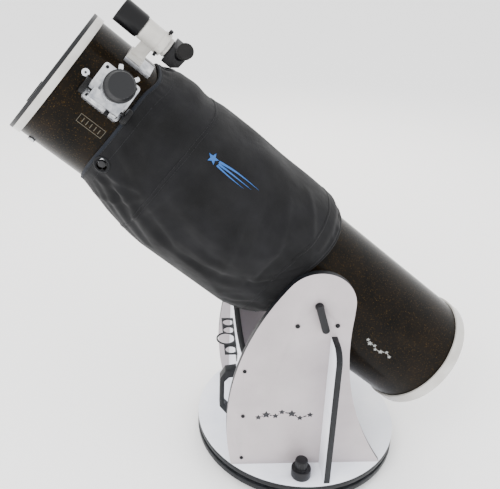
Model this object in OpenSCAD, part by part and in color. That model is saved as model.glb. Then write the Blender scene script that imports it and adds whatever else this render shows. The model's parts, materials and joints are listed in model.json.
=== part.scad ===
// Collapsible strut-tube Dobsonian reflector on a laminated-board rocker box.
// Millimetres. +Z up, origin on the floor under the azimuth pivot.
// The tube points towards -X and up; -Y is the side with the focuser.

/* [Tube] */
// Outside radius of the rolled steel tube
tube_r = 177.5; // [170:0.5:180]
// Wall of the rolled tube
tube_wall = 1.2; // [1:0.1:2]
// Height of the tube axis above the horizon, in degrees
tube_alt = 40; // [30:1:60]
// Altitude axis to the front edge of the front ring
front_len = 911; // [890:1:930]
// Altitude axis to the rear edge of the rear ring
rear_len = 495; // [480:1:500]
// Front end of the lower tube, from the altitude axis
lower_front = 188; // [180:1:200]
// Rear end of the upper cage, from the altitude axis
cage_rear = 624; // [615:1:640]
// Outside radius of the end rings
ring_r = 183; // [181:0.5:186]
// Width of the front ring
front_ring_w = 21; // [16:1:26]
// Width of the rear ring
rear_ring_w = 34; // [28:1:40]

/* [Struts] */
// Radius of a strut rod
strut_r = 10; // [8:0.5:10]
// Distance of the struts from the tube axis
strut_ring = 161.5; // [160:0.5:162]
// Position of the first strut round the tube, in degrees above the near side
strut_phi = -20; // [-30:1:-10]

/* [Optics] */
// Radius of the primary mirror
mirror_r = 152.5; // [140:0.5:154]
// Thickness of the primary mirror
mirror_t = 38; // [30:1:42]
// Radius of curvature of the primary mirror
mirror_curve = 3000; // [2800:50:3200]
// Radius of the secondary mirror, across
diagonal_r = 35; // [30:0.5:36]
// Middle of the focuser, from the altitude axis
focuser_s = 780; // [775:1:785]
// Position of the focuser round the tube, in degrees
focuser_phi = 30.5; // [28:0.5:33]
// Radius of the drawtube
drawtube_r = 28; // [27.5:0.1:28.5]
// Position of the finder round the tube, in degrees
finder_phi = 70; // [66:1:74]
// Distance of the finder's axis from the tube axis
finder_w = 269; // [265:1:273]

/* [Base] */
// Radius of the ground board and of the turning disc
disc_r = 318; // [310:1:325]
// Thickness of every board
board_t = 18; // [16:1:18]
// Height of the rubber feet
foot_h = 25; // [20:1:30]
// Gap between the ground board and the disc
board_gap = 12; // [10:1:14]
// Altitude axis above the top of the disc
axis_h = 559; // [555:1:565]
// Half of the gap between the side boards
inner_y = 208.4; // [208:0.2:210]
// Radius of the round top of the side boards
board_top_r = 101; // [98:1:104]
// Radius of the altitude bearings
trunnion_r = 68; // [66:0.5:68]

/* [Shroud] */
// Rear hem of the shroud, from the altitude axis
shroud_rear = 45; // [44:1:50]
// Front hem of the shroud, from the altitude axis
shroud_front = 718; // [712:1:720]
// Largest radius of the shroud
shroud_r = 226; // [222:1:228]

/* [Hidden] */
$fn = 96;
fit = 0.06;          // running fit, on the radius
gap = 0.3;           // clear gap between moving faces
disc_top = foot_h + board_t + board_gap + board_t;
alt_z = disc_top + axis_h;
outer_y = inner_y + board_t;
bore_r = tube_r - tube_wall;

strut_phis = [for (i = [0:2]) strut_phi + 120 * i];
vane_phis = [for (i = [0:3]) focuser_phi + 90 * i];
clamp_s = lower_front - 28;
strut_end = cage_rear + 78;
strut_start = 55;
cap_s = cage_rear + 64;
vane_s = front_len - 55;
cell_s = -rear_len + 13;
mirror_back = cell_s + 42;
cell_phis = [30, 150, 270];
cell_pitch = 110;

panel_x = -204;
panel_mid = 350;
panel_end = 395;
panel_scoop_r = (inner_y * inner_y + pow(panel_end - panel_mid, 2)) / (2 * (panel_end - panel_mid));
screw_x = panel_x + board_t / 2;
screw_zs = [26, 185, 346];
roller_x = 55;
roller_z = -63;
roller_r = norm([roller_x, roller_z]) - trunnion_r - gap;
brace_x = 40;
brace_w = 80;
brace_h = 460;
brace_round = 40;
rack_z = disc_top + 303;
rack_holes = [[71, 16.5, 18], [29, 16.5, 18], [-15, 26, 29], [-72, 16.5, 18]];  // along Y, radius, out from the panel
handle_y = -70;
knob_xy = [-22, -272];
pad_ring = 200;
foot_ring = 262;

// front edge of a side board: a long arc that leaves the round top smoothly
edge_r = 740;
edge_turn = 141.2;
edge_join = board_top_r * [cos(edge_turn), sin(edge_turn)];
edge_c = -edge_join * (edge_r - board_top_r) / board_top_r;
// rear edge: a hollow arc from the waist to the foot
waist_x = 96;
waist_z = -115;
flare_r = 830;

plate_half = 53;
plate_top = 190;
body_top = 236;
shaft_t = -(drawtube_r + 3 + gap);
shaft_w = 205;
adapter_w = 248;
adapter_top = 268;
adapter_r = 36;
adapter_screws = [62, 120];
shoe_s = [724, 800];
shoe_stop = 757.7;
finder_screw_s = 754;

// ---------- frames ----------

// Tube frame: Z runs to the front of the tube, X to its upper side, origin on the altitude axis
module on_tube() {
    translate([0, 0, alt_z]) rotate([0, tube_alt - 90, 0]) children();
}

// Radial frame at an angle round the tube: X outwards, Y round the tube, Z along it
module at_phi(phi) {
    on_tube() rotate([0, 0, phi - 90]) children();
}

// A cylinder along X, from x0 to x1
module x_cyl(r, x0, x1) {
    translate([x0, 0, 0]) rotate([0, 90, 0]) cylinder(r = r, h = x1 - x0);
}

// A cylinder along Y, from y0 to y1
module y_cyl(r, y0, y1) {
    translate([0, y0, 0]) rotate([-90, 0, 0]) cylinder(r = r, h = y1 - y0);
}

// A cylinder along Z, from z0 to z1
module z_cyl(r, z0, z1) {
    translate([0, 0, z0]) cylinder(r = r, h = z1 - z0);
}

// A flat ring along Z
module z_ring(r_out, r_in, z0, z1) {
    difference() {
        z_cyl(r_out, z0, z1);
        z_cyl(r_in, z0 - 1, z1 + 1);
    }
}

// The far side of the base is the mirror image of the near side
module both_sides() {
    children();
    mirror([0, 1, 0]) children();
}

module rounded_square(half, r) {
    square([2 * half, 2 * (half - r)], center = true);
    square([2 * (half - r), 2 * half], center = true);
    for (x = [-1, 1], y = [-1, 1]) translate([x, y] * (half - r)) circle(r);
}

// ---------- ground board ----------

module ground_board() {
    color("dimgray") difference() {
        z_cyl(disc_r, foot_h, foot_h + board_t);
        z_cyl(8.05, foot_h - 1, foot_h + board_t + 1);
    }
}

module feet() {
    color("black") for (a = [0, 120, 240])
        rotate([0, 0, a]) translate([foot_ring, 0, 0]) cylinder(r1 = 26, r2 = 30, h = foot_h);
}

module bearing_pads() {
    pad_z = foot_h + board_t;
    color("white") for (a = [0, 120, 240])
        rotate([0, 0, a]) translate([pad_ring, 0, 0]) z_cyl(22, pad_z, pad_z + board_gap - gap);
}

module pivot_bolt() {
    color("silver") {
        z_cyl(8, foot_h - 5, disc_top + 20);
        translate([0, 0, foot_h - 10]) cylinder(r = 14, h = 10, $fn = 6);
        z_cyl(18, disc_top + gap, disc_top + 3);
        translate([0, 0, disc_top + 3]) cylinder(r = 14, h = 12, $fn = 6);
    }
}

// ---------- rocker box ----------

module base_disc() {
    color("white") difference() {
        z_cyl(disc_r, disc_top - board_t, disc_top);
        z_cyl(8 + fit, disc_top - board_t - 1, disc_top + 1);
        translate(knob_xy) z_cyl(5 + fit, disc_top - board_t - 1, disc_top + 1);
    }
}

// Outline of a side board in X and Z, about the altitude axis
module board_outline() {
    circle(board_top_r);
    difference() {
        intersection() {
            translate(edge_c) circle(edge_r, $fn = 360);
            polygon([[0, 0], 1.5 * edge_join, [-420, 60], [-420, -axis_h], [300, -axis_h],
                [300, waist_z - 15], [waist_x + 0.1, waist_z - 15], [board_top_r - 0.3, -7]]);
        }
        translate([waist_x + flare_r, waist_z]) circle(flare_r, $fn = 360);
    }
}

// Places of the screws that hold the front panel, on the near side
module at_board_screws() {
    for (z = screw_zs) translate([screw_x, 0, disc_top + z]) children();
}

// Places of the bolts that hold the cradle rollers
module at_rollers() {
    for (x = [-1, 1]) translate([x * roller_x, 0, alt_z + roller_z]) children();
}

module side_board() {
    difference() {
        translate([0, -inner_y, alt_z]) rotate([90, 0, 0]) linear_extrude(board_t) board_outline();
        translate([0, 0, alt_z]) y_cyl(5 + fit, -outer_y - 1, -inner_y + 1);
        at_rollers() y_cyl(4.05, -outer_y - 1, -inner_y + 1);
        at_board_screws() y_cyl(3.05, -outer_y - 1, -inner_y + 1);
    }
}

module side_board_near() {
    color("gainsboro") side_board();
}

module side_board_far() {
    color("gainsboro") mirror([0, 1, 0]) side_board();
}

module front_panel() {
    color("white") difference() {
        translate([panel_x, 0, disc_top]) rotate([90, 0, 90]) linear_extrude(board_t) difference() {
            translate([-inner_y, 0]) square([2 * inner_y, panel_end]);
            translate([0, panel_mid + panel_scoop_r]) circle(panel_scoop_r, $fn = 360);
        }
        both_sides() at_board_screws() y_cyl(3.05, -inner_y - 1, -inner_y + 26);
    }
}

module braces() {
    color("white") both_sides() mirror([0, 1, 0]) translate([brace_x, outer_y, disc_top])
        rotate([90, 0, 90]) linear_extrude(board_t) {
            square([brace_w, brace_h - brace_round]);
            square([brace_w - brace_round, brace_h]);
            translate([brace_w - brace_round, brace_h - brace_round]) circle(brace_round);
        }
}

// Finger handle: a bent bar that stands off the front panel
module carry_handle() {
    color("black") translate([panel_x, handle_y + 15, disc_top]) mirror([1, 0, 0])
        rotate([90, 0, 0]) linear_extrude(30)
            polygon([[0, 38], [10, 42], [50, 96], [50, 205], [34, 234], [0, 240],
                [0, 210], [22, 208], [36, 192], [36, 108], [8, 74], [0, 70]]);
}

module eyepiece_rack() {
    color("black") {
        translate([panel_x, 0, rack_z]) mirror([1, 0, 0]) linear_extrude(3) difference() {
            union() {
                translate([0, -95]) square([38, 190]);
                translate([rack_holes[2][2], rack_holes[2][0]]) circle(rack_holes[2][1] + 5);
            }
            for (h = rack_holes) translate([h[2], h[0]]) circle(h[1]);
            translate([-100, -100]) square([100, 200]);
        }
        translate([panel_x - 2.5, -95, rack_z - 25]) cube([2.5, 190, 25]);
    }
}

module board_screws() {
    color("black") both_sides() at_board_screws() {
        y_cyl(3, -outer_y - 1, -inner_y + 25);
        y_cyl(5.5, -outer_y - 2.5, -outer_y);
    }
}

module cradle_rollers() {
    color("white") both_sides() at_rollers() difference() {
        y_cyl(roller_r, -inner_y, -inner_y + 18);
        y_cyl(4.05, -inner_y - 1, -inner_y + 19);
    }
}

module roller_bolts() {
    color("silver") both_sides() at_rollers() {
        y_cyl(4, -outer_y - 1, -inner_y + 18);
        y_cyl(6.5, -outer_y - 2.5, -outer_y);
    }
}

module azimuth_knob() {
    color("black") translate(knob_xy) {
        z_cyl(29, disc_top + gap, disc_top + 30);
        z_cyl(18, disc_top + 29, disc_top + 60);
        z_cyl(5, foot_h + board_t + 0.5, disc_top + 1);
    }
}

// Tension lever: an arm on a bolt that runs through the board into the bearing
module tension_lever() {
    arm = [20, -67];
    color("black") translate([0, 0, alt_z]) {
        y_cyl(5, -outer_y - 18, -194);
        y_cyl(12, -outer_y - 5, -outer_y - gap);
        translate([0, -outer_y - 4, 0]) rotate([90, 0, 0]) linear_extrude(14) {
            circle(10.5);
            translate(arm) circle(10.5);
            rotate(atan2(arm[1], arm[0])) translate([0, -10.2]) square([norm(arm), 20.4]);
        }
    }
}

module tension_lever_near() {
    tension_lever();
}

module tension_lever_far() {
    mirror([0, 1, 0]) tension_lever();
}

// ---------- lower tube ----------

module lower_tube() {
    color("black") difference() {
        on_tube() z_ring(tube_r, bore_r, -rear_len + 4.2, lower_front - 6.2);
        for (phi = strut_phis) at_phi(phi) translate([0, 0, clamp_s]) x_cyl(4.1, 150, 190);
    }
}

module rear_ring() {
    color("white") on_tube() rotate_extrude() polygon([[165, -rear_len], [ring_r, -rear_len],
        [ring_r, rear_ring_w - rear_len], [tube_r + 0.1, rear_ring_w - rear_len],
        [tube_r + 0.1, 4 - rear_len], [165, 4 - rear_len]]);
}

// Strut sockets and the hoop that joins them, between two places along the tube
module strut_hoop(lip0, lip1, in0, in1, sock0, sock1, bore) {
    difference() {
        on_tube() union() {
            z_ring(bore_r - 0.1, 168, in0, in1);
            z_ring(181, 168, lip0, lip1);
            for (phi = strut_phis) rotate([0, 0, phi - 90]) translate([strut_ring, 0, 0])
                z_cyl(14.4, sock0, sock1);
        }
        for (phi = strut_phis) at_phi(phi) translate([strut_ring, 0, 0]) z_cyl(bore, sock0 - 1, sock1 + 1);
        for (phi = strut_phis) at_phi(phi) translate([0, 0, lip0 > 400 ? cap_s : clamp_s])
            x_cyl(3.1, strut_ring, 190);
    }
}

module strut_guide_ring() {
    color("dimgray") strut_hoop(lower_front - 6, lower_front, lower_front - 38, lower_front - 5,
        lower_front - 68, lower_front - 1, strut_r + fit);
}

module trunnions() {
    color("black") difference() {
        translate([0, 0, alt_z]) both_sides() y_cyl(trunnion_r, -inner_y + 1.5, -150);
        on_tube() z_cyl(tube_r + 0.05, -200, 200);
        translate([0, 0, alt_z]) both_sides() y_cyl(5 + fit, -inner_y, -193.5);
    }
}

// Cast frame behind the mirror: a rim, a hub and three arms
module mirror_cell() {
    color("dimgray") difference() {
        on_tube() union() {
            z_ring(bore_r - 0.1, 158, cell_s, cell_s + 20);
            z_cyl(40, cell_s, cell_s + 12);
            for (phi = cell_phis) rotate([0, 0, phi - 90]) translate([30, -16, cell_s]) cube([135, 32, 12]);
        }
        for (phi = cell_phis) at_phi(phi) {
            translate([cell_pitch, 0, 0]) z_cyl(4 + fit, cell_s - 1, cell_s + 13);
            translate([cell_pitch + 28, 0, 0]) z_cyl(3.05, cell_s - 1, cell_s + 13);
        }
    }
}

function bowl(r) = mirror_curve - sqrt(mirror_curve * mirror_curve - r * r);

module primary_mirror() {
    rim = mirror_back + mirror_t;
    color("lightblue") on_tube() rotate_extrude() polygon(concat(
        [[0, mirror_back], [mirror_r, mirror_back]],
        [for (i = [6:-1:0]) let (r = mirror_r * i / 6) [r, rim + bowl(r) - bowl(mirror_r)]]));
}

// Plate that carries the mirror, with three clips over its edge
module mirror_carrier() {
    plate = mirror_back - 6;
    color("gray") on_tube() {
        difference() {
            z_cyl(150, plate, mirror_back - 0.3);
            for (phi = cell_phis) rotate([0, 0, phi - 30]) translate([75, 0, plate - 1]) cylinder(r = 42, h = 8);
        }
        for (phi = cell_phis) rotate([0, 0, phi - 90]) {
            translate([140, -11, plate]) cube([16, 22, 5.7]);
            translate([mirror_r + 0.3, -11, plate]) cube([5, 22, mirror_t + 8]);
            translate([mirror_r - 6, -11, mirror_back + mirror_t + 0.3]) cube([11.3, 22, 1.7]);
        }
    }
}

module collimation_springs() {
    color("silver") for (phi = cell_phis) at_phi(phi) translate([cell_pitch, 0, 0])
        for (i = [0:4]) z_ring(9, 6.5, cell_s + 12 + 4.7 * i, cell_s + 14.5 + 4.7 * i);
}

module lock_screws() {
    color("silver") for (phi = cell_phis) at_phi(phi) translate([cell_pitch + 28, 0, 0]) {
        z_cyl(3, cell_s - 2, mirror_back - 6.3);
        z_cyl(7, cell_s - 8, cell_s);
    }
}

module collimation_knob(i) {
    color("silver") at_phi(cell_phis[i]) translate([cell_pitch, 0, 0]) {
        z_cyl(4, cell_s - 3, mirror_back - 6.5);
        z_cyl(15, cell_s - 12, cell_s - gap);
    }
}

module clamp_knob(i) {
    color("black") at_phi(strut_phis[i]) translate([0, 0, clamp_s]) {
        x_cyl(3, strut_ring + strut_r + gap, 185);
        x_cyl(8, tube_r + 1, 186);
        x_cyl(14, 185, 200);
    }
}

// Loose sleeve of cloth over the struts, pressed flat where it passes between the side boards
module shroud_form(inset) {
    pinch = 170 + inset;
    side = inner_y - 4 - inset;
    r = shroud_r - inset;
    intersection() {
        rotate_extrude() polygon([[0, shroud_rear - 1], [tube_r + 3.5 - inset, shroud_rear - 1],
            [r - 8, shroud_rear + 7 + inset], [r, 90], [r, 520], [r - 10, 640],
            [tube_r + 7 - inset, 696], [tube_r + 3.5 - inset, shroud_front + 1], [0, shroud_front + 1]]);
        union() {
            translate([-300, -side, 0]) cube([600, 2 * side, 400]);
            translate([-300, -300, pinch]) cube([600, 600, 600]);
        }
    }
}

module shroud() {
    color("darkslategray") difference() {
        on_tube() intersection() {
            difference() {
                shroud_form(0);
                shroud_form(3);
            }
            z_cyl(300, shroud_rear, shroud_front);
        }
        translate([0, 0, alt_z]) y_cyl(trunnion_r + 8, -300, 300);
        for (phi = strut_phis) at_phi(phi) translate([0, 0, cap_s]) x_cyl(16, 150, 250);
    }
}

// ---------- upper cage ----------

module upper_tube() {
    color("black") difference() {
        on_tube() z_ring(tube_r, bore_r, cage_rear + 6.2, front_len - 4.2);
        at_phi(focuser_phi) translate([0, 0, focuser_s]) x_cyl(drawtube_r + 3, 150, 200);
        for (phi = vane_phis) at_phi(phi) translate([0, 0, vane_s]) x_cyl(3.1, 150, 190);
        for (phi = strut_phis) at_phi(phi) translate([0, 0, cap_s]) x_cyl(4.1, 150, 190);
    }
}

module front_ring() {
    color("white") on_tube() rotate_extrude() polygon([[168, front_len], [ring_r, front_len],
        [ring_r, front_len - front_ring_w], [tube_r + 0.1, front_len - front_ring_w],
        [tube_r + 0.1, front_len - 4], [168, front_len - 4]]);
}

module cage_ring() {
    color("dimgray") strut_hoop(cage_rear, cage_rear + 6, cage_rear + 5, cage_rear + 38,
        cage_rear + 1, cage_rear + 78, strut_r + 0.05);
}

module struts() {
    color("silver") for (phi = strut_phis) at_phi(phi) translate([strut_ring, 0, 0])
        z_cyl(strut_r, strut_start, strut_end);
}

module strut_caps() {
    color("black") for (phi = strut_phis) at_phi(phi) translate([0, 0, cap_s]) {
        x_cyl(3, strut_ring + strut_r + 0.1, 180);
        x_cyl(13, tube_r + 0.05, tube_r + 2);
        x_cyl(10.5, tube_r + 1, tube_r + 10);
    }
}

module spider() {
    color("black") difference() {
        union() {
            on_tube() z_cyl(22, vane_s - 12, vane_s + 14);
            for (phi = vane_phis) at_phi(phi) {
                translate([20, -0.8, vane_s - 12]) cube([bore_r - 21, 1.6, 24]);
                translate([bore_r - 9, -5, vane_s - 9]) cube([8, 10, 18]);
                translate([0, 0, vane_s]) x_cyl(3, bore_r - 4, tube_r + 6);
            }
        }
        on_tube() z_cyl(4.05, vane_s - 13, vane_s + 15);
        for (i = [0:2]) on_tube() rotate([0, 0, 120 * i]) translate([14, 0, 0])
            z_cyl(2.55, vane_s - 13, vane_s + 15);
    }
}

module spider_nuts() {
    color("silver") for (phi = vane_phis) at_phi(phi) translate([0, 0, vane_s]) difference() {
        x_cyl(10, tube_r + 0.3, tube_r + 7);
        x_cyl(3.05, tube_r - 1, tube_r + 8);
    }
}

// Stem, its centre bolt and three adjusting screws
module secondary_holder() {
    top = focuser_s + 52;
    color("dimgray") at_phi(focuser_phi) {
        intersection() {
            z_cyl(diagonal_r - 2, focuser_s - 60, top);
            translate([0, 0, focuser_s]) rotate([0, -45, 0]) translate([-150, -150, 8]) cube([300, 300, 300]);
        }
    }
    color("silver") on_tube() {
        z_cyl(4, top - 1, vane_s + 20);
        for (i = [0:2]) rotate([0, 0, 120 * i]) translate([14, 0, 0]) z_cyl(2.5, top - 1, vane_s + 18);
    }
}

module secondary_mirror() {
    color("lightblue") at_phi(focuser_phi) intersection() {
        z_cyl(diagonal_r, focuser_s - 70, focuser_s + 70);
        translate([0, 0, focuser_s]) rotate([0, -45, 0]) translate([-90, -90, 0]) cube([180, 180, 7.9]);
    }
}

// ---------- focuser ----------

// Focuser frame: X out of the tube, Y round it, Z along it
module on_focuser() {
    at_phi(focuser_phi) translate([0, 0, focuser_s]) children();
}

module focuser_base() {
    block_w = 220;
    color("silver") difference() {
        union() {
            on_focuser() translate([150, 0, 0]) rotate([90, 0, 90]) linear_extrude(plate_top - 150)
                rounded_square(plate_half, 8);
            on_focuser() x_cyl(drawtube_r + 6, plate_top - 1, body_top);
            on_focuser() translate([plate_top - 1, -48, -42]) cube([block_w - plate_top + 1, 26, 84]);
        }
        on_tube() z_cyl(tube_r + 0.05, 600, 1000);
        on_focuser() x_cyl(drawtube_r + fit, 140, body_top + 1);
        on_focuser() translate([shaft_w, shaft_t, 0]) z_cyl(3 + fit, -60, 60);
        on_focuser() translate([shaft_w, 0, -18]) y_cyl(2.5 + fit, -60, shaft_t);
        for (y = [-1, 1], z = [-1, 1]) on_focuser() translate([0, y * 43, z * 43])
            x_cyl(3, plate_top - 3, plate_top + 1);
    }
}

module focus_shaft() {
    color("black") on_focuser() translate([shaft_w, shaft_t, 0]) {
        z_cyl(3, -66, 66);
        for (side = [-1, 1]) translate([0, 0, side * 61.5]) cylinder(r = 21, h = 13, center = true);
    }
}

module focus_lock_screw() {
    color("black") on_focuser() translate([shaft_w, 0, -18]) {
        y_cyl(2.5, -50, shaft_t - 3.5);
        y_cyl(6, -60, -48 - gap);
    }
}

module drawtube() {
    color("silver") on_focuser() difference() {
        x_cyl(drawtube_r, 173, adapter_w + 6);
        x_cyl(25.6, 172, adapter_w + 7);
    }
}

module eyepiece_adapter() {
    color("black") on_focuser() difference() {
        union() {
            x_cyl(adapter_r, adapter_w + 2, adapter_top - 2);
            x_cyl(adapter_r - 2, adapter_w, adapter_top);
        }
        x_cyl(drawtube_r + 0.05, adapter_w - 1, adapter_w + 6);
        x_cyl(25.6, adapter_w, adapter_top + 1);
        for (a = adapter_screws) translate([adapter_w + 10, 0, 0]) rotate([90 - a, 0, 0]) y_cyl(2.55, 20, 50);
    }
}

module adapter_screw(i) {
    color("silver") on_focuser() translate([adapter_w + 10, 0, 0]) rotate([90 - adapter_screws[i], 0, 0]) {
        y_cyl(2.5, 27, 44);
        y_cyl(5.5, 42, 54);
    }
}

module focuser_cap() {
    color("black") on_focuser() {
        x_cyl(25.3, adapter_w + 4, adapter_top + 1);
        x_cyl(39.5, adapter_top + gap, adapter_top + 7);
        translate([adapter_top + 7, 0, 0]) rotate([0, 90, 0]) cylinder(r1 = 37, r2 = 31, h = 15);
    }
}

// ---------- finder ----------

// Cross-section of the finder's dovetail foot, across the tube
module dovetail(grow) {
    polygon([[179 - grow, -17 - grow], [187.5, -13.5 - grow], [187.5, 13.5 + grow], [179 - grow, 17 + grow]]);
}

module finder_shoe() {
    color("silver") difference() {
        at_phi(finder_phi) translate([160, -24, shoe_s[0]]) cube([27, 48, shoe_s[1] - shoe_s[0]]);
        on_tube() z_cyl(tube_r + 0.05, 600, 1000);
        at_phi(finder_phi) translate([0, 0, shoe_stop]) linear_extrude(100) dovetail(gap);
    }
}

module finder_bracket() {
    color("white") at_phi(finder_phi) {
        translate([0, 0, shoe_stop + gap]) linear_extrude(shoe_s[1] - shoe_stop - gap) dovetail(0);
        translate([187.4, -18, shoe_stop + gap]) cube([12, 36, shoe_s[1] - shoe_stop - gap]);
        difference() {
            union() {
                translate([198, -7, shoe_stop + 4]) cube([50, 14, 34]);
                translate([finder_w, 0, 0]) z_cyl(28.5, 744, 812);
                translate([finder_w, 0, 0]) z_cyl(31, 744, 762);
            }
            translate([finder_w, 0, 0]) z_cyl(25.3, 740, 820);
            for (a = [0, 120, 240]) translate([finder_w, 0, finder_screw_s]) rotate([0, 0, a]) x_cyl(2.1, 20, 40);
        }
    }
}

module finder_tube() {
    color("white") at_phi(finder_phi) translate([finder_w, 0, 0]) z_ring(25, 23, 734, 816);
}

module dew_shield() {
    color("black") at_phi(finder_phi) translate([finder_w, 0, 0]) rotate_extrude()
        polygon([[25.1, 814], [30, 814], [31.5, 820], [31.5, 882], [29, 882], [29, 826], [25.1, 826]]);
}

module finder_lens() {
    color("lightblue") at_phi(finder_phi) translate([finder_w, 0, 0]) z_cyl(28.8, 826.2, 833);
}

// Right-angle prism housing behind the finder's tube
module finder_diagonal() {
    color("black") at_phi(finder_phi) difference() {
        translate([finder_w, 0, 0]) union() {
            z_cyl(22.9, 726, 740);
            translate([-26, -24, 686]) cube([52, 48, 44]);
            rotate([0, 0, -40]) translate([0, 0, 703]) x_cyl(16, 0, 37);
        }
        translate([finder_w - 26, 0, 686]) rotate([0, 45, 0]) cube([22, 60, 22], center = true);
    }
}

module finder_eyepiece() {
    color("black") at_phi(finder_phi) translate([finder_w, 0, 703]) rotate([0, 0, -40]) {
        x_cyl(18, 37.1, 51);
        x_cyl(20, 50, 63);
    }
}

module finder_screws() {
    color("black") at_phi(finder_phi) translate([finder_w, 0, finder_screw_s]) {
        for (a = [0, 120]) rotate([0, 0, a]) {
            x_cyl(2, 25.2, 40);
            x_cyl(5, 35, 43);
        }
        rotate([0, 0, 240]) {
            x_cyl(2, 25.2, 34);
            x_cyl(4, 31.5, 41);
        }
    }
}

// ---------- dust cap ----------

module cap_plug_place() {
    at_phi(250) translate([95, 0, front_len]) children();
}

module dust_cap() {
    color("black") difference() {
        on_tube() rotate_extrude() polygon([[0, front_len + 7], [162, front_len + 7], [162, front_len - 12],
            [167.6, front_len - 12], [167.6, front_len + gap], [ring_r, front_len + gap],
            [ring_r, front_len + 10], [0, front_len + 10]]);
        cap_plug_place() z_cyl(30.3, 0, 20);
    }
}

module cap_plug() {
    color("black") cap_plug_place() {
        z_cyl(30, 4, 11);
        z_cyl(34, 10 + gap, 13);
    }
}

ground_board();
feet();
bearing_pads();
pivot_bolt();
base_disc();
side_board_near();
side_board_far();
front_panel();
braces();
carry_handle();
eyepiece_rack();
board_screws();
cradle_rollers();
roller_bolts();
azimuth_knob();
tension_lever_near();
tension_lever_far();
lower_tube();
rear_ring();
strut_guide_ring();
trunnions();
mirror_cell();
primary_mirror();
mirror_carrier();
collimation_springs();
lock_screws();
collimation_knob(0);  // collimation_knob_1
collimation_knob(1);  // collimation_knob_2
collimation_knob(2);  // collimation_knob_3
clamp_knob(0);  // clamp_knob_1
clamp_knob(1);  // clamp_knob_2
clamp_knob(2);  // clamp_knob_3
shroud();
upper_tube();
front_ring();
cage_ring();
struts();
strut_caps();
spider();
spider_nuts();
secondary_holder();
secondary_mirror();
focuser_base();
focus_shaft();
focus_lock_screw();
drawtube();
eyepiece_adapter();
adapter_screw(0);  // adapter_screw_1
adapter_screw(1);  // adapter_screw_2
focuser_cap();
finder_shoe();
finder_bracket();
finder_tube();
dew_shield();
finder_lens();
finder_diagonal();
finder_eyepiece();
finder_screws();
dust_cap();
cap_plug();
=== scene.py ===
# %% [markdown]
# # A collapsible Dobsonian telescope
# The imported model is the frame: every board, tube and screw already stands in its place.
# This file gives those pieces their real surfaces, sews the cloth shroud that hangs round the
# struts, and adds the small trim that catches the eye, such as grip ribs and stitches.

# %% The frame
import json
import math

import bmesh
import bpy
from mathutils import Matrix, Vector, noise


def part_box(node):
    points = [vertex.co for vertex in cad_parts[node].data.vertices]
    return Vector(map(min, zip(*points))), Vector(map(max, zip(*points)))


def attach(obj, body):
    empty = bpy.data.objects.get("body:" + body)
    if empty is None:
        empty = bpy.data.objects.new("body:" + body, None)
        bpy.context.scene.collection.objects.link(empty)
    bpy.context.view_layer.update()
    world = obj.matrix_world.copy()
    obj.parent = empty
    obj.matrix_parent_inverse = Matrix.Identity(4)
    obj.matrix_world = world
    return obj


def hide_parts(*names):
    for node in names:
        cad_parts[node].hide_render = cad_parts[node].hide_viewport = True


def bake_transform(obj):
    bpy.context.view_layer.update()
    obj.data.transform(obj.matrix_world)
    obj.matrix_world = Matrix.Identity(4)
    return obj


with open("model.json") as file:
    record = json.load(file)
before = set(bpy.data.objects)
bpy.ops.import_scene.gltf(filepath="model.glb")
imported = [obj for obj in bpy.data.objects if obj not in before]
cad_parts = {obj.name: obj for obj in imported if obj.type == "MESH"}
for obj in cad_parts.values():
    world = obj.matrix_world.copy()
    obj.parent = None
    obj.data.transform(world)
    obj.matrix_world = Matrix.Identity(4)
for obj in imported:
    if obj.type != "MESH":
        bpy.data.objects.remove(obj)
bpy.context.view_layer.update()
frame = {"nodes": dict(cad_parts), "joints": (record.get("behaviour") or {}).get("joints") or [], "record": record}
cad = frame["nodes"]
joints = {joint["name"]: joint for joint in frame["joints"]}
body_of = {node: body for body, nodes in frame["record"]["behaviour"]["bodies"].items() for node in nodes}
slot_of = {part["node"]: part["material_slot"] for part in frame["record"]["subparts"]}
print("pieces in the frame:", len(cad))

# %% [markdown]
# A tube that leans is awkward to work on in world axes. So a point is given as a distance along
# the tube, an angle round it and a distance from its middle, the way a tube is measured on a bench.
# The joints already hold the directions: the tube collapses along its own axis, and the drawtube
# slides straight out of its side.

# %% The tube's own coordinates
MM = 0.001
PIVOT = Vector(joints["altitude_tilt"]["pos_m"])
ALONG = Vector(joints["tube_collapse"]["axis"]).normalized()
NEAR = Vector((0, -1, 0))
OVER = ALONG.cross(NEAR).normalized()
TUBE_R = 177.5 * MM
LOWER_FRONT = 188 * MM
CAGE_REAR = 624 * MM
CAP_S = 688 * MM
STRUT_ANGLES = (-20, 100, 220)


def outward(angle):
    """The direction away from the tube's axis at an angle round it, in degrees."""
    turn = math.radians(angle)
    return NEAR * math.cos(turn) + OVER * math.sin(turn)


def on_tube(along, angle, radius):
    """A point by its distance along the tube, its angle round it and its distance from the axis."""
    return PIVOT + ALONG * along + outward(angle) * radius


def tube_measure(point):
    """Distance along the tube, angle round it in degrees, and distance from its axis."""
    away = point - PIVOT
    near, over = away.dot(NEAR), away.dot(OVER)
    return away.dot(ALONG), math.degrees(math.atan2(over, near)), math.hypot(near, over)


def standing(place, axis, towards=None):
    """A matrix that puts something made along Z at a place, pointing along axis."""
    z = Vector(axis).normalized()
    x = Vector(towards) if towards else z.orthogonal()
    y = z.cross(x).normalized()
    turn = Matrix((y.cross(z), y, z)).transposed()
    return Matrix.Translation(place) @ turn.to_4x4()


def new_object(name, data):
    """An object in the scene, from its mesh, curve, lamp or camera."""
    made = bpy.data.objects.new(name, data)
    bpy.context.collection.objects.link(made)
    return made


print("tube leans", round(math.degrees(math.asin(ALONG.z)), 1), "degrees above the horizon")

# %% [markdown]
# The camera looks down at the telescope from head height, nearly square to its side. A long lens
# and a small shift keep the boards upright in the view.

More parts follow.
